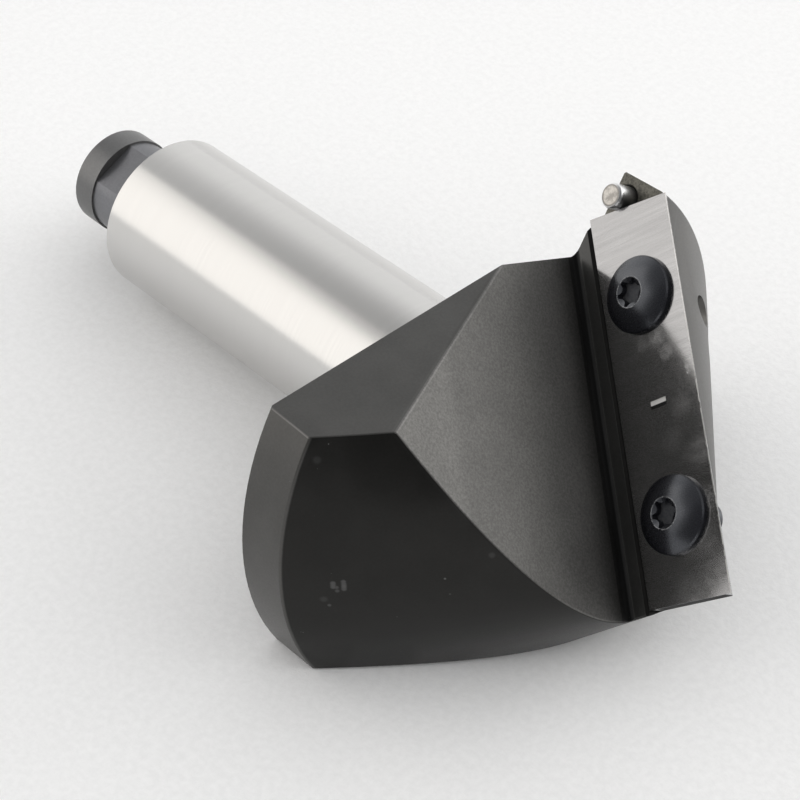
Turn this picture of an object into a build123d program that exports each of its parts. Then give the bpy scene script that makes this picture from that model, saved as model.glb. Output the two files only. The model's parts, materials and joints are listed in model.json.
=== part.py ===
from build123d import *
from math import atan2, cos, degrees, radians, sin, sqrt, tan
import os

# A V-groove router bit with one screwed-on carbide knife, in mm and degrees.
# It is built upright on the Z axis, with the cutting tip at Z = 0 and the shank above,
# and is then laid down the way it rests on a table.

# Cutting geometry
cutting_diameter = 66.0
groove_angle = 91.0
tip_offset = 0.6  # the knife starts this far off the axis, across it
edge_ahead = 0.3  # and this far in front of it
rake_angle = 13.0

# Steel body
rim_clearance = 0.1  # the rim lies inside the cutting circle
cone_clearance = 1.1  # the body's cone lies this far behind the cutting cone, along the axis
rim_height = 6.27  # straight rim between the cone and the head's flat back
shank_diameter = 20.0
shank_length = 54.93
shank_chamfer = 0.3
shank_root_fillet = 1.0
rim_chamfer = 0.2
ridge_rounding = 0.2  # on the ridges where the cone, the rim, the flats and the gullet wall meet

# Rear spigot with a round collar and two wrench flats
neck_diameter = 12.2
collar_diameter = 12.7
neck_length = 7.82
collar_length = 3.85
collar_chamfer = 0.5
across_flats = 10.5
wrench_turn = -70.0  # direction that one wrench flat faces
centre_hole = 4.0
centre_pilot = 2.0
centre_depth = 4.0
centre_angle = 60.0

# Two flats milled on the head, facing opposite ways
flat_turn = -45.4  # direction that the front flat faces
flat_lean = 1.8  # both flats are milled at this small angle to the axis
front_flat = 18.67  # distance of the front flat from the axis, at the head's back
rest_flat = 14.1  # distance of the flat that the tool lies on, at the head's back
front_flat_side = 8.0  # the front flat ends this far beside the axis, inside the gullet

# Chip gullet and knife seat
ledge_rise = 0.3  # the ledge stands this much above the knife's face
ledge_width = 2.55
ledge_chamfer = 0.3
gullet_lean = 2.0
gullet_fillet = 0.9

# Carbide knife
knife_width = 11.12
knife_thickness = 1.5
knife_end_slant = 5.0
knife_side_angle = 35.0
knife_side_gap = 0.1
screw_from_end = 10.09
screw_from_edge = 5.7
mark_length = 2.2
mark_width = 0.95
mark_depth = 0.15

# Screws with a domed head and a six-lobe socket
screw_diameter = 4.0
screw_length = 6.0
screw_clearance = 0.2
thread_clearance = 0.1
screw_tip_chamfer = 0.4
thread_run = 1.0  # the tapped part of the hole goes this far past the screw's tip
core_drill = 3.3  # the rest of the hole, out through the back of the head
head_diameter = 8.75
head_wall = 0.6
head_height = 2.15
head_chamfer = 0.15
socket_outer = 3.35
socket_inner = 2.4
socket_valley = 0.74
socket_rounding = 0.2
socket_depth = 1.2
socket_mouth = 3.5  # rim of the shallow cone round the socket
mouth_depth = 0.25
lobes = 6

# Dowel pin that locates the knife's outer end
pin_diameter = 3.0
pin_above_seat = 2.6
pin_in_body = 5.0
pin_rounding = 0.4
pin_chamfer = 0.3
pin_across = 6.8
pin_fit = 0.02
pin_countersink = 0.3
pin_touch = 0.02

# Values that follow from the ones above
half_angle = groove_angle / 2
cutting_radius = cutting_diameter / 2
body_radius = cutting_radius - rim_clearance
shank_radius = shank_diameter / 2
cone_foot = cone_clearance + body_radius / tan(radians(half_angle))
back_face = cone_foot + rim_height
shank_end = back_face + shank_length
collar_front = shank_end + neck_length
spigot_end = collar_front + collar_length
knife_length = (sqrt(cutting_radius**2 - edge_ahead**2) - tip_offset) / sin(radians(half_angle))
end_slope = tan(radians(knife_end_slant))
seat_width = knife_width + knife_side_gap
gullet_wall = seat_width + ledge_width
overrun = 2 * cutting_diameter  # the milling cuts run this far past the head
screw_places = [knife_length - screw_from_end, screw_from_end]
pin_along = knife_length + pin_across * end_slope
pin_along += (pin_diameter / 2 + pin_touch) / cos(radians(knife_end_slant))
shank_full_end = shank_end - shank_chamfer
rest_tilt = degrees(atan2(rest_flat - shank_radius, shank_full_end - back_face))

# The knife's own place: X along the cutting edge from the tip outwards, Y across the face, Z out of it.
edge_direction = (sin(radians(half_angle)), 0, cos(radians(half_angle)))
edge_plane = Plane(origin=(tip_offset, -edge_ahead, 0), x_dir=edge_direction, z_dir=(0, -1, 0))
knife_place = edge_plane * Rot(-rake_angle, 0, 0)


def ring_profile(points):
    # closes a list of (radius, height) points into a face beside the Z axis
    return make_face(Polyline(*points, close=True))


def turned_blank():
    centre_cone = (centre_hole - centre_pilot) / 2 / tan(radians(centre_angle / 2))
    points = [
        (0, cone_clearance),
        (body_radius, cone_foot),
        (body_radius, back_face),
        (shank_radius, back_face),
        (shank_radius, shank_full_end),
        (shank_radius - shank_chamfer, shank_end),
        (neck_diameter / 2, shank_end),
        (neck_diameter / 2, collar_front),
        (collar_diameter / 2, collar_front),
        (collar_diameter / 2, spigot_end),
        (centre_hole / 2, spigot_end),
        (centre_pilot / 2, spigot_end - centre_cone),
        (centre_pilot / 2, spigot_end - centre_depth),
        (0, spigot_end - centre_depth),
    ]
    profile = ring_profile(points)
    shank_root = profile.vertices().sort_by_distance((shank_radius, back_face))[0]
    profile = fillet(shank_root, shank_root_fillet)
    back_corner = profile.vertices().sort_by_distance((body_radius, back_face))[0]
    profile = chamfer(back_corner, rim_chamfer)
    collar_corner = profile.vertices().sort_by_distance((collar_diameter / 2, spigot_end))[0]
    profile = chamfer(collar_corner, collar_chamfer)
    return revolve(Plane.XZ * profile, Axis.Z)


def side_place(turn, distance, height):
    # a place beside the axis: its Z faces outwards and its X points down the tool
    facing = Vector(cos(radians(turn)), sin(radians(turn)), 0)
    foot = facing * distance + Vector(0, 0, height)
    return Plane(origin=foot, x_dir=(0, 0, -1), z_dir=facing).location


def front_flat_place():
    return side_place(flat_turn, front_flat, back_face) * Rot(0, flat_lean, 0)


def rest_flat_place():
    return side_place(flat_turn + 180, rest_flat, back_face) * Rot(0, -flat_lean, 0)


def front_flat_cut():
    # mills only the side away from the knife, so the rim behind the knife stays whole
    block = Box(overrun, overrun, overrun, align=(Align.CENTER, Align.MAX, Align.MIN))
    return front_flat_place() * Pos(0, front_flat_side, 0) * block


def rest_flat_cut():
    return rest_flat_place() * Box(overrun, overrun, overrun, align=(Align.CENTER, Align.CENTER, Align.MIN))


def gullet_cut():
    # one prism along the cutting edge leaves the seat, the step, the ledge and the gullet wall
    lean = overrun * tan(radians(gullet_lean))
    points = [
        (-overrun, -knife_thickness),
        (seat_width, -knife_thickness),
        (seat_width, ledge_rise),
        (gullet_wall, ledge_rise),
        (gullet_wall + lean, ledge_rise + overrun),
        (-overrun, ledge_rise + overrun),
    ]
    section = make_face(Polyline(*points, close=True))
    root = section.vertices().sort_by_distance((gullet_wall, ledge_rise))[0]
    section = fillet(root, gullet_fillet)
    step = section.vertices().sort_by_distance((seat_width, ledge_rise))[0]
    section = chamfer(step, ledge_chamfer)
    across_edge = Plane(origin=(0, 0, 0), x_dir=(0, 1, 0), z_dir=(1, 0, 0)).location
    return knife_place * across_edge * extrude(section, overrun, both=True)


def wrench_flat_cuts():
    cuts = []
    for turn in (wrench_turn, wrench_turn + 180):
        place = side_place(turn, across_flats / 2, shank_end)
        block = Box(neck_length, neck_diameter, neck_diameter, align=(Align.MAX, Align.CENTER, Align.MIN))
        cuts.append(place * block)
    return cuts


def drilled(along, across, radius, depth):
    # a round hole square to the knife's face, from above the face down to the given depth below it
    hole = Cylinder(radius, depth + knife_thickness, align=(Align.CENTER, Align.CENTER, Align.MAX))
    return knife_place * Pos(along, across, knife_thickness) * hole


def pin_hole():
    radius = (pin_diameter + pin_fit) / 2
    wide = radius + 2 * pin_countersink
    mouth = Cone(radius, wide, 2 * pin_countersink, align=(Align.CENTER, Align.CENTER, Align.MIN))
    mouth = knife_place * Pos(pin_along, pin_across, -knife_thickness - pin_countersink) * mouth
    return drilled(pin_along, pin_across, radius, knife_thickness + pin_in_body) + mouth


def head_ridges(body):
    # every edge between two of these faces: the cone, the rim, both flats and the gullet wall
    cone = body.faces().filter_by(lambda face: face.center().Z < cone_foot).filter_by(GeomType.CONE)
    rim = body.faces().filter_by(lambda face: cone_foot < face.center().Z < back_face)
    flats = body.faces().filter_by(Plane(front_flat_place()))
    gullet_wall = body.faces().filter_by(Plane(knife_place * Rot(90 - gullet_lean, 0, 0)))
    faces = cone + rim.filter_by(GeomType.CYLINDER) + flats + gullet_wall
    edges = [edge for face in faces for edge in face.edges()]
    return [edge for place, edge in enumerate(edges) if any(map(edge.is_same, edges[:place]))]


def cutter_body():
    body = turned_blank() - front_flat_cut() - rest_flat_cut() - gullet_cut() - wrench_flat_cuts()
    body = fillet(head_ridges(body), ridge_rounding)
    for along in screw_places:
        body -= drilled(along, screw_from_edge, screw_diameter / 2, screw_length + thread_run)
        body -= drilled(along, screw_from_edge, core_drill / 2, cutting_diameter)
    return body - pin_hole()


def knife_outline(inset):
    # a parallelogram with slanted ends, its two long sides moved in by the inset
    far = knife_width - inset
    points = [
        (inset * end_slope, inset),
        (knife_length + inset * end_slope, inset),
        (knife_length + far * end_slope, far),
        (far * end_slope, far),
    ]
    return make_face(Polyline(*points, close=True))


def knife():
    inset = knife_thickness * tan(radians(knife_side_angle))
    plate = loft([Pos(0, 0, -knife_thickness) * knife_outline(inset), knife_outline(0)])
    mark = Box(mark_width, mark_length, 2 * mark_depth)
    plate -= Pos(knife_length / 2, knife_width / 2, 0) * mark
    blade = knife_place * plate
    for along in screw_places:
        blade -= drilled(along, screw_from_edge, (screw_diameter + screw_clearance) / 2, overrun)
    return blade


def six_lobe():
    valley_pitch = socket_inner / 2 + socket_valley
    star = Circle(socket_outer / 2) - PolarLocations(valley_pitch, lobes) * Circle(socket_valley)
    return fillet(star.vertices(), socket_rounding)


def mouth_cut(dome_radius):
    # meets the dome in a circle of the mouth's diameter, and the socket's inner circle below it
    rim = head_height - dome_radius + sqrt(dome_radius**2 - (socket_mouth / 2) ** 2)
    foot = rim - mouth_depth
    slope = (socket_mouth - socket_inner) / 2 / mouth_depth
    top = socket_inner / 2 + (head_height - foot) * slope
    height = head_height - foot
    upwards = (Align.CENTER, Align.CENTER, Align.MIN)
    return Pos(0, 0, foot) * Cone(socket_inner / 2, top, height, align=upwards)


def knife_screw(along):
    # stands on Z with the underside of its head at Z = 0
    thread_radius = (screw_diameter - thread_clearance) / 2
    tip_radius = thread_radius - screw_tip_chamfer
    head_radius = head_diameter / 2
    rise = head_height - head_wall
    dome_radius = (head_radius**2 + rise**2) / (2 * rise)
    outline = [
        Line((0, head_height), (0, -screw_length)),
        Line((0, -screw_length), (tip_radius, -screw_length)),
        Line((tip_radius, -screw_length), (thread_radius, screw_tip_chamfer - screw_length)),
        Line((thread_radius, screw_tip_chamfer - screw_length), (thread_radius, 0)),
        Line((thread_radius, 0), (head_radius, 0)),
        Line((head_radius, 0), (head_radius, head_wall)),
        RadiusArc((head_radius, head_wall), (0, head_height), -dome_radius),
    ]
    profile = make_face(outline)
    head_corner = profile.vertices().sort_by_distance((head_radius, head_wall))[0]
    screw = revolve(Plane.XZ * chamfer(head_corner, head_chamfer), Axis.Z)
    screw -= Pos(0, 0, head_height - socket_depth) * extrude(six_lobe(), socket_depth)
    screw -= mouth_cut(dome_radius)
    return knife_place * Pos(along, screw_from_edge, 0) * screw


def locating_pin():
    length = pin_above_seat + pin_in_body
    pin = Cylinder(pin_diameter / 2, length, align=(Align.CENTER, Align.CENTER, Align.MAX))
    rounded_end = pin.edges().sort_by(Axis.Z)[-1]
    pin = fillet(rounded_end, pin_rounding)
    hidden_end = pin.edges().sort_by(Axis.Z)[0]
    pin = chamfer(hidden_end, pin_chamfer)
    return knife_place * Pos(pin_along, pin_across, pin_above_seat - knife_thickness) * pin


def resting(pieces):
    # lays the tool on the back edge of its rest flat and the rear edge of its shank, tip towards +X
    lay = Rot(0, -(90 + rest_tilt), 0) * Rot(0, 0, -flat_turn)
    laid = {name: lay * piece for name, piece in pieces.items()}
    box = Compound(list(laid.values())).bounding_box()
    middle = box.center()
    to_floor = Pos(-middle.X, -middle.Y, -box.min.Z)
    return {name: to_floor * piece for name, piece in laid.items()}


def main():
    os.makedirs("parts", exist_ok=True)
    pieces = {"cutter_body": cutter_body(), "knife": knife(), "locating_pin": locating_pin()}
    for number, along in enumerate(screw_places, start=1):
        pieces[f"knife_screw_{number}"] = knife_screw(along)
    for name, piece in resting(pieces).items():
        export_step(piece, f"parts/{name}.step")


main()
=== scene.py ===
from math import cos, radians, sin
import json
import bpy
import numpy as np
from mathutils import Matrix, Vector


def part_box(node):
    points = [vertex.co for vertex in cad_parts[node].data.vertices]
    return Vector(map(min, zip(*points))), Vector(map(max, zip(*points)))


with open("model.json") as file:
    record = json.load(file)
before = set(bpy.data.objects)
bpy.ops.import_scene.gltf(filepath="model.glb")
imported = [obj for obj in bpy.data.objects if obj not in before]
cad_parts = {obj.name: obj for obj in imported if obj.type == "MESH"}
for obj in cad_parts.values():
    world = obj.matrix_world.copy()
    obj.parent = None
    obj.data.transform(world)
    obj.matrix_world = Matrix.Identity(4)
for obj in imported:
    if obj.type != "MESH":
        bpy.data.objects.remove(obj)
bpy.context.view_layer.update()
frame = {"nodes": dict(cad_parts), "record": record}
nodes = frame["nodes"]
mm = 0.001


# Where things are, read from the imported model

shankMount = next(m for m in frame["record"]["mounts"] if m["name"] == "shank")
toolAxis = Vector(shankMount["axis"]).normalized()  # from the cutting tip towards the spigot
shankMiddle = Vector(shankMount["pos_m"])
shankRadius = shankMount["dims"]["r_mm"]
shankHalf = shankMount["dims"]["length_mm"] / 2


def meshTriangles(obj):
    # corners of every triangle, as an array of triangles by corners by coordinates
    mesh = obj.data
    mesh.calc_loop_triangles()
    points = np.zeros(len(mesh.vertices) * 3)
    mesh.vertices.foreach_get("co", points)
    corners = np.zeros(len(mesh.loop_triangles) * 3, int)
    mesh.loop_triangles.foreach_get("vertices", corners)
    return points.reshape(-1, 3)[corners].reshape(-1, 3, 3)


def waysOut(triangles):
    # each triangle's way out, and twice its area
    doubled = np.cross(triangles[:, 1] - triangles[:, 0], triangles[:, 2] - triangles[:, 0])
    area = np.linalg.norm(doubled, axis=1)
    return doubled / np.maximum(area, 1e-12)[:, None], area


def plateAxes(obj):
    # a plate's long edge, the way across it and the way out of its widest face
    triangles = meshTriangles(obj)
    out, area = waysOut(triangles)
    widest = out[np.argmax(area)]
    sides = (np.roll(triangles, -1, axis=1) - triangles).reshape(-1, 3)
    lengths = np.linalg.norm(sides, axis=1) * (np.abs(sides @ widest) < 1e-5)
    along = sides[np.argmax(lengths)] / lengths.max()
    return Vector(along), Vector(np.cross(widest, along)), Vector(widest)


def widestPlane(obj, fits):
    # the largest flat area among the triangles whose way out fits: its way out and a point on it
    triangles = meshTriangles(obj)
    out, area = waysOut(triangles)
    depth = np.sum(out * triangles[:, 0], axis=1)
    rounded = np.round(np.column_stack((out * 500, depth / mm * 20)))
    group = np.unique(rounded, axis=0, return_inverse=True)[1].ravel()
    sums = np.bincount(group, weights=area * fits(out))
    chosen = np.flatnonzero(group == np.argmax(sums))
    largest = chosen[np.argmax(area[chosen])]
    return Vector(out[largest]), Vector(triangles[largest, 0])


def middle(node):
    low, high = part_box(node)
    return (low + high) / 2


knifeAxes = plateAxes(nodes["knife"])  # along its long edge, across it and out of its face


# Camera at the photograph's angle, worked out for an image of 800 by 800 pixels

cameraView = {
    "place": (0.150994, -0.135757, 0.206791),
    "looksAlong": (-0.52611, 0.48049, -0.70167),
    "upwards": (-0.52276, 0.46807, 0.71249),
    "lens": 108.43,
    "sensor": 36.0,
    "clip": (0.01, 20.0),
}


def makeCamera(values):
    data = bpy.data.cameras.new("camera")
    data.lens = values["lens"]
    data.sensor_width = values["sensor"]
    data.clip_start, data.clip_end = values["clip"]
    camera = bpy.data.objects.new("camera", data)
    back = -Vector(values["looksAlong"]).normalized()
    right = Vector(values["upwards"]).cross(back).normalized()
    up = back.cross(right)
    turn = Matrix((right, up, back)).transposed().to_4x4()
    camera.matrix_world = Matrix.Translation(values["place"]) @ turn
    bpy.context.scene.collection.objects.link(camera)
    bpy.context.scene.camera = camera


makeCamera(cameraView)
print("camera placed")


# Node helpers

def wire(tree, node, values):
    # an input is given a value, or an output socket to link
    for key, value in values.items():
        if isinstance(value, bpy.types.NodeSocket):
            tree.links.new(value, node.inputs[key])
        else:
            node.inputs[key].default_value = value


def addNode(tree, kind, inputs=None, **settings):
    node = tree.nodes.new("ShaderNode" + kind)
    for name, value in settings.items():
        setattr(node, name, value)
    wire(tree, node, inputs or {})
    return node


def calc(tree, operation, first, second=0.0):
    return addNode(tree, "Math", {0: first, 1: second}, operation=operation).outputs[0]


def fade(tree, value, start, end, low=0.0, high=1.0):
    # goes smoothly from low to high while the value goes from start to end
    inputs = {"Value": value, "From Min": start, "From Max": end, "To Min": low, "To Max": high}
    return addNode(tree, "MapRange", inputs, interpolation_type="SMOOTHSTEP").outputs["Result"]


def near(tree, value, centre, half, soft):
    # 1 while the value is within half of the centre, fading to 0 over the soft width
    away = calc(tree, "ABSOLUTE", calc(tree, "SUBTRACT", value, centre))
    return fade(tree, away, half, half + soft, 1.0, 0.0)


def product(tree, *shares):
    result = shares[0]
    for share in shares[1:]:
        result = calc(tree, "MULTIPLY", result, share)
    return result


def blendNumber(tree, share, first, second):
    return addNode(tree, "Mix", {0: share, 2: first, 3: second}, data_type="FLOAT").outputs[0]


def blendColour(tree, share, first, second):
    return addNode(tree, "Mix", {0: share, 6: first, 7: second}, data_type="RGBA").outputs[2]


def toned(tone, times=1.0):
    # a tone is its level, how much more red and how much more blue
    level, red, blue = tone[0] * times, tone[1], tone[2]
    return (level * (1 + red), level, level * (1 + blue), 1.0)


def between(tree, share, tone, shades):
    # the tone, going from the one shade to the other with the share
    low, high = shades
    return blendColour(tree, share, toned(tone, low), toned(tone, high))


def greyValue(tree, value):
    return addNode(tree, "CombineColor", {0: value, 1: value, 2: value}).outputs[0]


def shaded(tree, colour, shade):
    inputs = {0: 1.0, 6: colour, 7: greyValue(tree, shade)}
    return addNode(tree, "Mix", inputs, data_type="RGBA", blend_type="MULTIPLY").outputs[2]


def plainSpace(tree, **placing):
    # Object coordinates in millimetres
    inputs = {"Vector": addNode(tree, "TexCoord").outputs["Object"], "Scale": (1 / mm,) * 3, **placing}
    return addNode(tree, "Mapping", inputs).outputs[0]


def pieceSpace(tree, origin, xWay, yWay, zWay):
    # the same, along three directions of a piece
    turn = Matrix((xWay, yWay, zWay))
    return plainSpace(tree, Location=-(turn @ origin) / mm, Rotation=turn.to_euler())


def toolSpace(tree):
    # X and Y across the tool, Z along its axis from the middle of the shank towards the spigot
    side = toolAxis.orthogonal().normalized()
    return pieceSpace(tree, shankMiddle, side, toolAxis.cross(side), toolAxis)


def roundSplit(tree, space):
    # the distance from the Z axis and the place along it
    split = addNode(tree, "SeparateXYZ", {0: space})
    outward = addNode(tree, "CombineXYZ", {0: split.outputs[0], 1: split.outputs[1]}).outputs[0]
    radius = addNode(tree, "VectorMath", {0: outward}, operation="LENGTH").outputs["Value"]
    return radius, split.outputs[2]


def towards(tree, x, y, turn):
    # how far x and y lie in the direction turned by so many degrees
    xPart = calc(tree, "MULTIPLY", x, cos(radians(turn)))
    return calc(tree, "ADD", xPart, calc(tree, "MULTIPLY", y, sin(radians(turn))))


def noise(tree, vector, scale, detail, roughness):
    # the scale is one number, or one for each of the three directions
    if isinstance(scale, tuple):
        vector = addNode(tree, "Mapping", {"Vector": vector, "Scale": scale}).outputs[0]
        scale = 1.0
    inputs = {"Vector": vector, "Scale": scale, "Detail": detail, "Roughness": roughness}
    return addNode(tree, "TexNoise", inputs).outputs["Fac"]


def spots(tree, marks):
    # the strongest of several round spots, each fading out over its half width
    space = plainSpace(tree)
    result = 0.0
    for x, y, z, halfWidth, strength in marks:
        away = addNode(tree, "VectorMath", {0: space, 1: (x, y, z)}, operation="DISTANCE").outputs["Value"]
        spot = fade(tree, away, halfWidth * 0.3, halfWidth, strength, 0.0)
        result = calc(tree, "MAXIMUM", result, spot)
    return result


def newMaterial(name):
    material = bpy.data.materials.new(name)
    material.use_nodes = True
    tree = material.node_tree
    tree.nodes.clear()
    shader = addNode(tree, "BsdfPrincipled")
    addNode(tree, "OutputMaterial", {"Surface": shader.outputs[0]})
    return material, tree, shader


def bump(tree, height, depth):
    # the depth is in millimetres
    return addNode(tree, "Bump", {"Height": height, "Distance": depth * mm, "Strength": 1.0}).outputs[0]


# Steel body: black-burnished head and spigot, ground shank

bodyFinish = {
    "coneTone": (0.0195, 0.02, -0.05),  # level, more red, more blue
    "reliefTone": (0.08, 0.04, -0.07),
    "rimTone": (0.085, 0.02, -0.04),
    "flatTone": (0.098, 0.01, -0.03),
    "wallTone": (0.11, 0.02, -0.04),
    # painted shade in the crease at the gullet's root
    "rootTone": (0.022, 0.0, 0.0),
    "ridgeTone": (0.145, 0.02, -0.03),
    "ledgeTone": (0.068, 0.0, -0.03),
    "seatTone": (0.085, 0.04, -0.14),
    "collarTone": (0.165, 0.0, 0.0),
    "neckTone": (0.2, -0.01, 0.06),
    "blackMetal": 0.8,
    "wallMetal": 0.6,
    "blackRoughness": 0.36,
    "wallRoughness": 0.44,
    "groundTone": (0.62, 0.012, -0.022),
    "groundRoughness": (0.17, 0.23),
    "anisotropy": 0.6,
    "ringsPerMm": (0.05, 0.05, 9.0),  # fine turning rings on the ground shank
    "ringShades": (0.94, 1.05),
    "grainPerMm": 6.0,
    "grainDepth": 0.004,
    "cloudPerMm": 0.12,
    "cloudShades": (0.92, 1.08),
    "specklePerMm": 3.5,
    "speckleShades": (0.94, 1.06),
    "wallSpeckles": (0.84, 1.16),
    "seatSpeckles": (0.7, 1.35),
    "specksPerMm": 1.7,  # single bright specks, where the noise passes these levels
    "specksFrom": (0.78, 0.81),
    "speckTone": (0.16, 0.0, 0.0),

    # where the finishes meet, in millimetres
    "groundEnd": 1.2,  # past the end of the shank, as the next two
    "neckStart": 1.0,
    "collarStart": 8.0,
    "rimRadius": 32.6,
    "edgeRadius": 32.75,
    "reliefFade": (-3.0, 2.0),  # over the knife seat, as the next two
    "ledgeHeight": 1.8,
    "rootHeight": 2.4,
    "rootAhead": 0.5,  # in front of the gullet wall
    "besideKnife": 9.5,

    # painted light and shade on the gullet wall, by the height over the knife seat: darker near the root, a
    # lighter band in the middle, lighter past the far fade
    "rootPaintedShade": 0.4,
    "rootFade": (2.4, 6.4),
    "middlePaintedLight": 0.18,
    "middleHeight": 9.5,
    "middleFade": 7.0,
    "farPaintedShades": (0.92, 1.11),
    "farFade": (23.0, 24.8),

    # where the blackening is rubbed: place in mm, half width, strength
    "rubMarks": [
        (23.70, -28.81, 16.00, 0.42, 0.43),
        (24.48, -28.00, 16.22, 0.42, 0.40),
        (24.52, -28.01, 15.71, 0.42, 0.43),
        (23.68, -28.80, 16.25, 0.42, 0.43),
        (23.73, -28.82, 15.74, 0.42, 0.43),
        (23.97, -28.57, 15.68, 0.36, 0.32),
        (24.05, -28.54, 15.17, 0.36, 0.29),
        (24.44, -28.00, 16.52, 0.40, 0.40),
        (24.51, -28.00, 15.94, 0.42, 0.47),
        (24.53, -28.02, 15.49, 0.42, 0.40),
        (23.53, -29.24, 12.93, 0.30, 0.36),
        (23.11, -29.63, 13.84, 0.60, 0.14),
        (31.78, -20.36, 17.49, 0.22, 0.90),
        (32.28, -20.05, 15.30, 0.22, 0.90),
        (34.72, -16.54, 20.68, 0.50, 0.14),
        (19.77, -27.27, 30.68, 0.60, 0.14),
    ],
}


def heightOver(tree, out, point):
    # distance in front of a plane, in millimetres
    side = out.orthogonal().normalized()
    return addNode(tree, "SeparateXYZ", {0: pieceSpace(tree, point, side, out.cross(side), out)}).outputs[2]


def headHeights(tree):
    # distances in front of the front flat, the gullet wall and the knife seat, and across the knife
    body = nodes["cutter_body"]
    edgeWay, faceWay = knifeAxes[0], knifeAxes[2]

    def isWall(out):
        return (np.abs(out @ edgeWay) < 0.01) & (np.abs(out @ faceWay) < 0.2)

    planes = {
        "flat": widestPlane(body, lambda out: out[:, 2] > 0.99),
        "wall": widestPlane(body, isWall),
        "seat": widestPlane(body, lambda out: out @ faceWay > 0.999),
    }
    heights = {name: heightOver(tree, *plane) for name, plane in planes.items()}
    knifeSpace = pieceSpace(tree, middle("knife"), *knifeAxes)
    heights["across"] = addNode(tree, "SeparateXYZ", {0: knifeSpace}).outputs[1]
    return heights


def aboveLedge(tree, heights, values):
    # 1 above the ledge beside the knife, 0 below it
    return fade(tree, heights["seat"], values["ledgeHeight"] - 0.6, values["ledgeHeight"] - 0.2)


def bodyZones(tree, heights, radius, along, values):
    # shares of the head's faces and of the spigot, told apart by where they are, and a dark strip of
    # painted shade in the crease at the gullet's root
    overFlat, overWall, overSeat = heights["flat"], heights["wall"], heights["seat"]
    inFront = fade(tree, overWall, -0.15, -0.05)
    besideKnife = product(tree, near(tree, heights["across"], 0.0, values["besideKnife"], 0.5), inFront)
    wallEdge = near(tree, overWall, 0.0, 0.1, 0.08)
    rimEdge = fade(tree, radius, values["edgeRadius"], values["edgeRadius"] + 0.12)
    anyEdge = calc(tree, "MAXIMUM", wallEdge, rimEdge)
    rootAhead = near(tree, overWall, values["rootAhead"], 0.46, 0.1)
    rootHeight = near(tree, overSeat, values["rootHeight"], 0.58, 0.03)
    neckStart, collarStart = shankHalf + values["neckStart"], shankHalf + values["collarStart"]
    return {
        "relief": fade(tree, overSeat, *values["reliefFade"], 1.0, 0.0),
        "rim": fade(tree, radius, values["rimRadius"], values["rimRadius"] + 0.2),
        "flat": near(tree, overFlat, 0.0, 0.02, 0.1),
        "wall": product(tree, near(tree, overWall, 0.0, 0.02, 0.1), aboveLedge(tree, heights, values)),
        # painted shade: a dark strip in the crease where the gullet wall meets the ledge
        "root": product(tree, rootAhead, rootHeight, besideKnife),
        "ridge": product(tree, near(tree, overFlat, 0.0, 0.1, 0.08), anyEdge),
        "ledge": product(tree, near(tree, overSeat, values["ledgeHeight"], 0.01, 0.03), besideKnife),
        "seat": product(tree, near(tree, overSeat, 0.0, 0.03, 0.1), besideKnife),
        "neck": fade(tree, along, neckStart, neckStart + 0.2),
        "collar": fade(tree, along, collarStart, collarStart + 0.1),
    }


def paintedWallShading(tree, heights, values):
    # painted light and shade: what the gullet wall's tone is multiplied by, and 1 elsewhere
    overSeat = heights["seat"]
    far = fade(tree, overSeat, *values["farFade"], *values["farPaintedShades"])
    isMiddle = near(tree, overSeat, values["middleHeight"], 1.0, values["middleFade"])
    shade = calc(tree, "ADD", far, calc(tree, "MULTIPLY", isMiddle, values["middlePaintedLight"]))
    shade = product(tree, shade, fade(tree, overSeat, *values["rootFade"], values["rootPaintedShade"], 1.0))
    onWall = product(tree, near(tree, heights["wall"], 0.0, 0.3, 0.1), aboveLedge(tree, heights, values))
    return blendNumber(tree, onWall, 1.0, shade)


def blackTone(tree, space, zones, values):
    # each zone's own tone, and the cloudy unevenness that it is multiplied by
    colour = toned(values["coneTone"])
    for name, share in zones.items():
        colour = blendColour(tree, share, colour, toned(values[name + "Tone"]))
    cloud = noise(tree, space, values["cloudPerMm"], 3.0, 0.55)
    speckle = noise(tree, space, values["specklePerMm"], 2.0, 0.7)
    wallSpeckle = fade(tree, speckle, 0.25, 0.75, *values["wallSpeckles"])
    seatSpeckle = fade(tree, speckle, 0.3, 0.65, *values["seatSpeckles"])
    toneFactors = product(
        tree,
        fade(tree, cloud, 0.3, 0.7, *values["cloudShades"]),
        fade(tree, speckle, 0.25, 0.75, *values["speckleShades"]),
        blendNumber(tree, zones["wall"], 1.0, wallSpeckle),
        blendNumber(tree, zones["seat"], 1.0, seatSpeckle),
    )
    return colour, toneFactors


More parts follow.
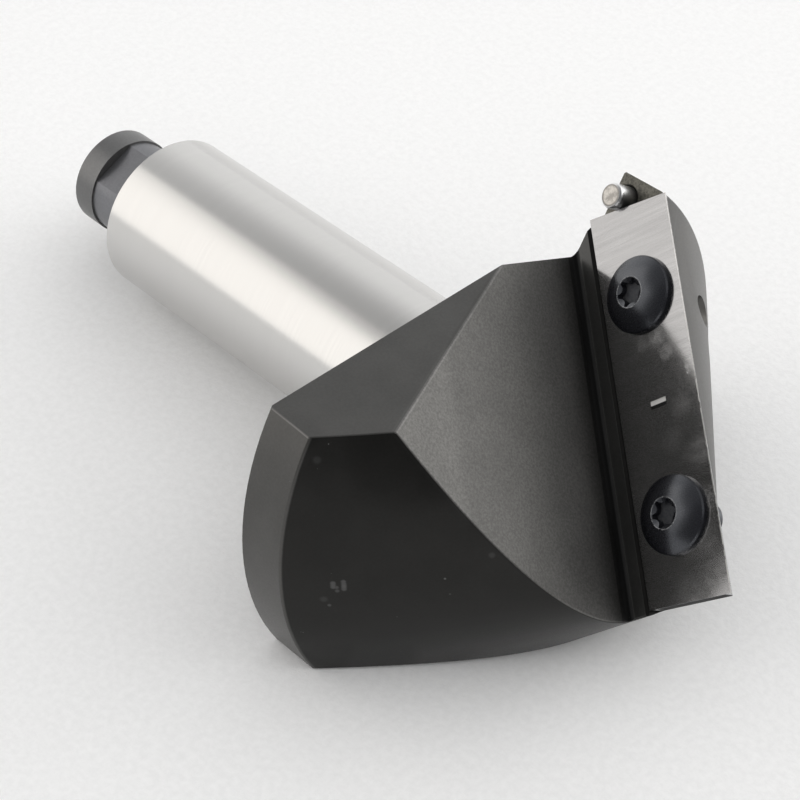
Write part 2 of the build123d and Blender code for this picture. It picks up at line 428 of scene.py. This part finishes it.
def bodyMaterial(values):
    material, tree, shader = newMaterial("burnishedAndGroundSteel")
    space = toolSpace(tree)
    radius, along = roundSplit(tree, space)
    nearAxis = calc(tree, "LESS_THAN", radius, shankRadius + 0.05)
    nearShank = calc(tree, "LESS_THAN", calc(tree, "ABSOLUTE", along), shankHalf + values["groundEnd"])
    ground = calc(tree, "MULTIPLY", nearAxis, nearShank)
    heights = headHeights(tree)
    zones = bodyZones(tree, heights, radius, along, values)

    colour, toneFactors = blackTone(tree, space, zones, values)
    # the gullet wall's painted light and shade multiplies its tone
    toneFactors = product(tree, toneFactors, paintedWallShading(tree, heights, values))
    specks = fade(tree, noise(tree, space, values["specksPerMm"], 2.0, 0.5), *values["specksFrom"])
    lighterMarks = calc(tree, "MAXIMUM", specks, spots(tree, values["rubMarks"]))
    black = blendColour(tree, lighterMarks, shaded(tree, colour, toneFactors), toned(values["speckTone"]))
    grain = noise(tree, space, values["grainPerMm"], 4.0, 0.6)
    gloss = blendNumber(tree, zones["wall"], values["blackRoughness"], values["wallRoughness"])
    blackGloss = calc(tree, "ADD", gloss, fade(tree, grain, 0.2, 0.8, -0.05, 0.05))
    blackMetal = blendNumber(tree, zones["wall"], values["blackMetal"], values["wallMetal"])

    rings = noise(tree, space, values["ringsPerMm"], 3.0, 0.6)
    bright = between(tree, rings, values["groundTone"], values["ringShades"])
    groundGloss = blendNumber(tree, rings, *values["groundRoughness"])
    wire(tree, shader, {
        "Base Color": blendColour(tree, ground, black, bright),
        "Metallic": blendNumber(tree, ground, blackMetal, 1.0),
        "Roughness": blendNumber(tree, ground, blackGloss, groundGloss),
        "Anisotropic": values["anisotropy"],
        "Tangent": addNode(tree, "CombineXYZ", dict(enumerate(toolAxis))).outputs[0],
        "Normal": bump(tree, grain, values["grainDepth"]),
    })
    return material


# Knife: lapped carbide with broad grinding bands, smears, a pale pit, and a painted glint along the cutting
# edge

knifeFinish = {
    "tone": (0.355, 0.005, 0.005),
    "sharpRoughness": 0.11,
    "hazyRoughness": 0.34,
    "smearMetal": 0.93,
    "endTone": (0.04, 0.0, 0.0),
    "endRoughness": 0.7,
    # a painted glint along the cutting edge
    "edgeGlintTone": (0.55, 0.01, -0.02),
    "edgeWidth": 0.16,
    "edgeGlintBreaksPerMm": 1.2,
    "edgeGlintShades": (0.3, 1.0),
    "endHalf": 4.5,  # half width of the dark ends
    "bandsPerMm": (1.5, 0.1, 0.3),  # along, across and out of the face
    "bandShades": (0.84, 1.14),
    "linesPerMm": (7.0, 0.12, 0.3),
    "lineShades": (0.94, 1.06),
    "lineDepth": 0.0006,
    "patchesPerMm": 0.25,  # patches and pores show where the noise passes their levels
    "patchesFrom": (0.45, 0.7),
    "patchStrength": 0.15,
    "smearsPerMm": 1.3,
    "smearShades": (0.4, 1.0),
    "poresPerMm": 16.0,
    "poresFrom": (0.58, 0.62),
    "pitTone": (0.6, 0.02, -0.02),
    "pitRoughness": 0.6,
    "pitSize": (0.5, 1.15, 0.1),  # half length, half width and depth

    # hand smears: place in mm, half width, strength
    "smearMarks": [
        (27.07, 13.18, 26.45, 1.5, 0.6),
        (28.33, 13.76, 27.72, 1.6, 0.7),
        (30.34, 13.22, 27.68, 1.4, 0.6),
        (33.88, 12.81, 28.38, 0.45, 1.0),
        (34.39, 12.46, 28.07, 0.4, 0.9),
        (35.59, 10.27, 25.43, 2.0, 0.5),
        (36.91, 7.95, 22.66, 2.2, 0.5),
        (39.97, 7.45, 23.05, 1.8, 0.5),
        (36.28, 5.61, 19.15, 1.5, 0.3),
        (50.01, 1.16, 17.85, 4.0, 0.5),
        (46.49, 2.57, 18.56, 3.5, 0.6),
        (48.52, -0.65, 14.78, 3.0, 0.5),
        (52.33, 0.23, 17.38, 2.5, 0.45),
        (40.79, 7.97, 24.08, 2.5, 0.6),
        (44.64, 5.10, 21.44, 2.2, 0.7),
    ],
}


def faceMiddle():
    # the middle of the knife's face
    points = meshTriangles(nodes["knife"]).reshape(-1, 3)
    heights = points @ knifeAxes[2]
    face = points[heights > heights.max() - 0.01 * mm]
    place = Vector()
    for way in knifeAxes:
        reach = face @ way
        place = place + way * (reach.min() + reach.max()) / 2
    return place


def cuttingEdge(tree, aside, values):
    # the share of the painted glint along the long edge that lies farther from the tool's axis
    across = knifeAxes[1]
    reach = meshTriangles(nodes["knife"]).reshape(-1, 3) @ across / mm
    fromShank = middle("knife") - shankMiddle
    outwards = fromShank - toolAxis * fromShank.dot(toolAxis)
    side = 1.0 if across.dot(outwards) > 0 else -1.0
    start = (reach.max() - reach.min()) / 2 - values["edgeWidth"]
    return fade(tree, calc(tree, "MULTIPLY", aside, side), start, start + 0.06)


def knifeMaterial(values):
    material, tree, shader = newMaterial("groundCarbide")
    space = pieceSpace(tree, faceMiddle(), *knifeAxes)
    lengthwise, aside, height = addNode(tree, "SeparateXYZ", {0: space}).outputs
    lines = noise(tree, space, values["linesPerMm"], 3.0, 0.6)
    bands = noise(tree, space, values["bandsPerMm"], 2.0, 0.5)
    patchNoise = noise(tree, space, values["patchesPerMm"], 3.0, 0.6)
    patches = fade(tree, patchNoise, *values["patchesFrom"], 0.0, values["patchStrength"])
    patches = calc(tree, "MAXIMUM", patches, spots(tree, values["smearMarks"]))
    smearNoise = noise(tree, space, values["smearsPerMm"], 4.0, 0.7)
    smears = product(tree, patches, fade(tree, smearNoise, 0.3, 0.7, *values["smearShades"]))
    pores = fade(tree, noise(tree, space, values["poresPerMm"], 1.0, 0.5), *values["poresFrom"])
    colour = between(tree, bands, values["tone"], values["bandShades"])
    colour = shaded(tree, colour, fade(tree, lines, 0.25, 0.75, *values["lineShades"]))
    halfLength, halfWidth, depth = values["pitSize"]
    pit = product(
        tree,
        near(tree, lengthwise, 0.0, halfLength, 0.02),
        near(tree, aside, 0.0, halfWidth, 0.02),
        fade(tree, height, -depth, -depth * 0.5, 1.0, 0.0),
    )
    belowFace = fade(tree, height, -0.06, -0.03, 1.0, 0.0)
    ends = product(tree, belowFace, near(tree, aside, 0.0, values["endHalf"], 0.5))
    colour = blendColour(tree, ends, colour, toned(values["endTone"]))
    # painted glint along the cutting edge, broken up by noise
    glintBreaks = noise(tree, space, values["edgeGlintBreaksPerMm"], 3.0, 0.6)
    edgeGlint = product(
        tree,
        cuttingEdge(tree, aside, values),
        fade(tree, height, -0.12, -0.06),
        fade(tree, glintBreaks, 0.3, 0.6, *values["edgeGlintShades"]),
    )
    colour = blendColour(tree, edgeGlint, colour, toned(values["edgeGlintTone"]))
    haze = calc(tree, "MAXIMUM", calc(tree, "MAXIMUM", pores, smears), edgeGlint)
    gloss = blendNumber(tree, haze, values["sharpRoughness"], values["hazyRoughness"])
    gloss = blendNumber(tree, ends, gloss, values["endRoughness"])
    wire(tree, shader, {
        "Base Color": blendColour(tree, pit, colour, toned(values["pitTone"])),
        "Metallic": blendNumber(tree, pit, blendNumber(tree, smears, 1.0, values["smearMetal"]), 0.0),
        "Roughness": blendNumber(tree, pit, gloss, values["pitRoughness"]),
        "Normal": bump(tree, lines, values["lineDepth"]),
    })
    return material


# Screws: blue-black satin, with a painted highlight on the socket's mouth edge, partly rubbed bare

screwFinish = {
    "tone": (0.005, 0.0, 0.4),
    "grainPerMm": 5.0,
    "grainShades": (0.7, 1.3),
    "grainDepth": 0.004,
    "wornPerMm": 3.0,
    "wornFrom": (0.35, 0.6),
    "roughness": (0.23, 0.33),
    "ior": 1.82,
    "tint": (0.88, 0.92, 1.0, 1.0),
    # the ring at the socket's mouth: painted highlight, partly rubbed bare
    "mouthGlintAndWearTone": (0.2, 0.0, 0.02),
    "socketTone": (0.03, 0.0, 0.05),
    "socketRoughness": 0.7,
    "mouthRadius": 1.75,
    "mouthHeight": 1.7,  # these heights are over the knife's face
    "socketTop": 1.55,
    "socketFloor": 0.95,
}


def axisSpace(tree, node):
    # millimetres from a round piece's axis, which stands on the knife's face at height zero
    along, across, out = knifeAxes
    facePoint = widestPlane(nodes["knife"], lambda way: way @ out > 0.999)[1]
    points = meshTriangles(nodes[node]).reshape(-1, 3)
    foot = out * facePoint.dot(out)
    for way in (along, across):
        reach = points @ way
        foot = foot + way * (reach.min() + reach.max()) / 2
    return roundSplit(tree, pieceSpace(tree, foot, along, across, out))


def screwMaterial(node, values):
    material, tree, shader = newMaterial("blackScrewSteel_" + node[-1])
    radius, height = axisSpace(tree, node)
    space = plainSpace(tree)
    grain = noise(tree, space, values["grainPerMm"], 3.0, 0.6)
    worn = fade(tree, noise(tree, space, values["wornPerMm"], 3.0, 0.7), *values["wornFrom"])
    mouth, top, floor = values["mouthRadius"], values["socketTop"], values["socketFloor"]
    # a thin lighter ring at the socket's mouth edge: painted highlight, partly rubbed bare
    lighterMarks = product(
        tree,
        near(tree, radius, mouth, 0.03, 0.07),
        fade(tree, height, values["mouthHeight"], values["mouthHeight"] + 0.05),
        worn,
    )
    socket = product(
        tree,
        fade(tree, radius, mouth, mouth + 0.05, 1.0, 0.0),
        fade(tree, height, top, top + 0.05, 1.0, 0.0),
    )
    bottom = product(tree, fade(tree, height, floor + 0.02, floor + 0.06, 1.0, 0.0), socket, worn)
    colour = between(tree, grain, values["tone"], values["grainShades"])
    colour = blendColour(tree, lighterMarks, colour, toned(values["mouthGlintAndWearTone"]))
    colour = blendColour(tree, bottom, colour, toned(values["socketTone"]))
    gloss = blendNumber(tree, grain, *values["roughness"])
    wire(tree, shader, {
        "Base Color": colour,
        "Roughness": blendNumber(tree, socket, gloss, values["socketRoughness"]),
        "IOR": values["ior"],
        "Specular Tint": values["tint"],
        "Normal": bump(tree, grain, values["grainDepth"]),
    })
    return material


# Dowel pin: bright ground steel with a dull mottled end

pinFinish = {
    "tone": (0.85, 0.0, 0.0),
    "grainPerMm": 4.0,
    "grainShades": (0.9, 1.08),
    "grainDepth": 0.003,
    "roughness": 0.31,
    "endTone": (0.44, 0.05, -0.07),
    "mottlePerMm": 1.4,
    "mottleShades": (0.66, 1.15),
    "endRimPaintedShade": 0.5,
    "endRim": (0.95, 1.2),  # radii between which the end's rounded rim is darkened, painted shade
    "endRoughness": 0.4,
    "endHeight": 1.09,  # over the knife's face
}


def pinMaterial(values):
    material, tree, shader = newMaterial("brightPinSteel")
    radius, height = axisSpace(tree, "locating_pin")
    space = plainSpace(tree)
    grain = noise(tree, space, values["grainPerMm"], 4.0, 0.6)
    mottle = fade(tree, noise(tree, space, values["mottlePerMm"], 3.0, 0.6), 0.35, 0.65)
    colour = between(tree, grain, values["tone"], values["grainShades"])
    dull = between(tree, mottle, values["endTone"], values["mottleShades"])
    # painted shade on the rounded rim of the end
    rimTone = toned(values["endTone"], values["endRimPaintedShade"])
    dull = blendColour(tree, fade(tree, radius, *values["endRim"]), dull, rimTone)
    endShare = fade(tree, height, values["endHeight"] - 0.06, values["endHeight"])
    wire(tree, shader, {
        "Base Color": blendColour(tree, endShare, colour, dull),
        "Metallic": 1.0,
        "Roughness": blendNumber(tree, endShare, values["roughness"], values["endRoughness"]),
        "Normal": bump(tree, grain, values["grainDepth"]),
    })
    return material


def dress(node, material):
    for slot in nodes[node].material_slots:
        slot.material = material


dress("cutter_body", bodyMaterial(bodyFinish))
dress("knife", knifeMaterial(knifeFinish))
for screw in ("knife_screw_1", "knife_screw_2"):
    dress(screw, screwMaterial(screw, screwFinish))
dress("locating_pin", pinMaterial(pinFinish))
print("materials on the five pieces")


# Table top, with painted shade towards the camera and painted light away from it

tableTop = {
    "size": 2.4,
    # painted shade and light: the tone goes from darker near the camera to lighter away from it
    "nearShadedTone": 0.9,
    "farLitTone": 0.965,
    "farWay": 137.0,  # degrees, away from the camera
    "reach": 75.0,  # millimetres from the middle to where each tone is full
    "paperPerMm": 1.1,
    "paperGrain": 0.03,
    "paperDepth": 0.02,
    "roughness": 0.9,
    "ior": 1.2,
}


def makeTable(values):
    half = values["size"] / 2
    mesh = bpy.data.meshes.new("table")
    corners = [(-half, -half, 0), (half, -half, 0), (half, half, 0), (-half, half, 0)]
    mesh.from_pydata(corners, [], [(0, 1, 2, 3)])
    table = bpy.data.objects.new("table", mesh)
    bpy.context.scene.collection.objects.link(table)
    material, tree, shader = newMaterial("paleTable")
    space = plainSpace(tree)
    paper = fade(tree, noise(tree, space, values["paperPerMm"], 3.0, 0.7), 0.25, 0.75)
    x, y = addNode(tree, "SeparateXYZ", {0: space}).outputs[:2]
    reach, grain = values["reach"], values["paperGrain"]
    # painted shade towards the camera, painted light away from it
    away = towards(tree, x, y, values["farWay"])
    tone = fade(tree, away, -reach, reach, values["nearShadedTone"], values["farLitTone"])
    tone = product(tree, tone, blendNumber(tree, paper, 1 - grain, 1 + grain))
    wire(tree, shader, {
        "Base Color": greyValue(tree, tone),
        "Roughness": values["roughness"],
        "IOR": values["ior"],
        "Normal": bump(tree, paper, values["paperDepth"]),
    })
    mesh.materials.append(material)


makeTable(tableTop)
print("table laid")


# Studio: a pale room, bright behind, dark behind the camera, with soft windows left and right

room = {
    "horizon": 1.03,  # levels, and heights and turns in degrees
    "overhead": 0.3,
    "fadeFrom": 22.0,
    "fadeTo": 64.0,
    "cameraSide": 0.13,
    "cameraSideTurn": -40.0,
    "cameraSideHalf": 45.0,
    "cameraSideFade": 28.0,
}
windows = {
    "left": {
        "turn": -140.0, "half": 30.0, "sideFade": 10.0,
        "low": 0.0, "lowFade": 2.0, "top": 43.0, "topFade": 3.0,
        "light": (1.5, 0.025, -0.03),
    },
    "right": {
        "turn": 68.0, "half": 14.0, "sideFade": 10.0,
        "low": 0.0, "lowFade": 4.0, "top": 32.0, "topFade": 8.0,
        "light": (2.3, 0.01, -0.02),
    },
}
panels = {
    "skyPanel": {
        "turn": 80.0, "rise": 75.0, "distance": 1.2,
        "width": 1.4, "height": 1.4, "strength": 0.42,
    },
    "leftPanel": {
        "turn": -60.0, "rise": 46.0, "distance": 1.4,
        "width": 1.6, "height": 1.6, "strength": 0.75,
    },
    "rightPanel": {
        "turn": 35.0, "rise": 42.0, "distance": 1.4,
        "width": 1.8, "height": 1.8, "strength": 0.6,
    },
}


def turnFrom(tree, split, centre):
    # how many degrees a direction is turned about the vertical from the centre
    x, y = split.outputs[:2]
    ahead, aside = towards(tree, x, y, centre), towards(tree, x, y, centre + 90)
    return calc(tree, "DEGREES", calc(tree, "ARCTAN2", aside, ahead))


def makeRoom(values, windows):
    world = bpy.data.worlds.new("room")
    world.use_nodes = True
    bpy.context.scene.world = world
    tree = world.node_tree
    tree.nodes.clear()
    split = addNode(tree, "SeparateXYZ", {0: addNode(tree, "TexCoord").outputs["Generated"]})
    rise = calc(tree, "DEGREES", calc(tree, "ARCSINE", split.outputs[2]))
    level = fade(tree, rise, values["fadeFrom"], values["fadeTo"], values["horizon"], values["overhead"])
    turned = turnFrom(tree, split, values["cameraSideTurn"])
    cameraShare = near(tree, turned, 0.0, values["cameraSideHalf"], values["cameraSideFade"])
    colour = greyValue(tree, blendNumber(tree, cameraShare, level, values["cameraSide"]))
    for window in windows.values():
        turned = turnFrom(tree, split, window["turn"])
        share = product(
            tree,
            near(tree, turned, 0.0, window["half"], window["sideFade"]),
            fade(tree, rise, window["low"], window["low"] + window["lowFade"]),
            fade(tree, rise, window["top"], window["top"] + window["topFade"], 1.0, 0.0),
        )
        colour = blendColour(tree, share, colour, toned(window["light"]))
    background = addNode(tree, "Background", {"Color": colour, "Strength": 1.0})
    addNode(tree, "OutputWorld", {"Surface": background.outputs[0]})


def makePanel(name, values):
    # a soft lamp over the table that metal doesn't mirror
    data = bpy.data.lights.new(name, "AREA")
    data.shape = "RECTANGLE"
    data.size = values["width"]
    data.size_y = values["height"]
    data.energy = values["strength"] * np.pi * values["width"] * values["height"]
    light = bpy.data.objects.new(name, data)
    light.visible_glossy = False
    light.visible_camera = False
    turn, rise = radians(values["turn"]), radians(values["rise"])
    way = Vector((cos(turn) * cos(rise), sin(turn) * cos(rise), sin(rise)))
    facing = way.to_track_quat("Z", "Y").to_matrix().to_4x4()
    light.matrix_world = Matrix.Translation(way * values["distance"]) @ facing
    bpy.context.scene.collection.objects.link(light)


makeRoom(room, windows)
for name, panel in panels.items():
    makePanel(name, panel)
bpy.context.scene.view_settings.view_transform = "Standard"
print("room and windows made")
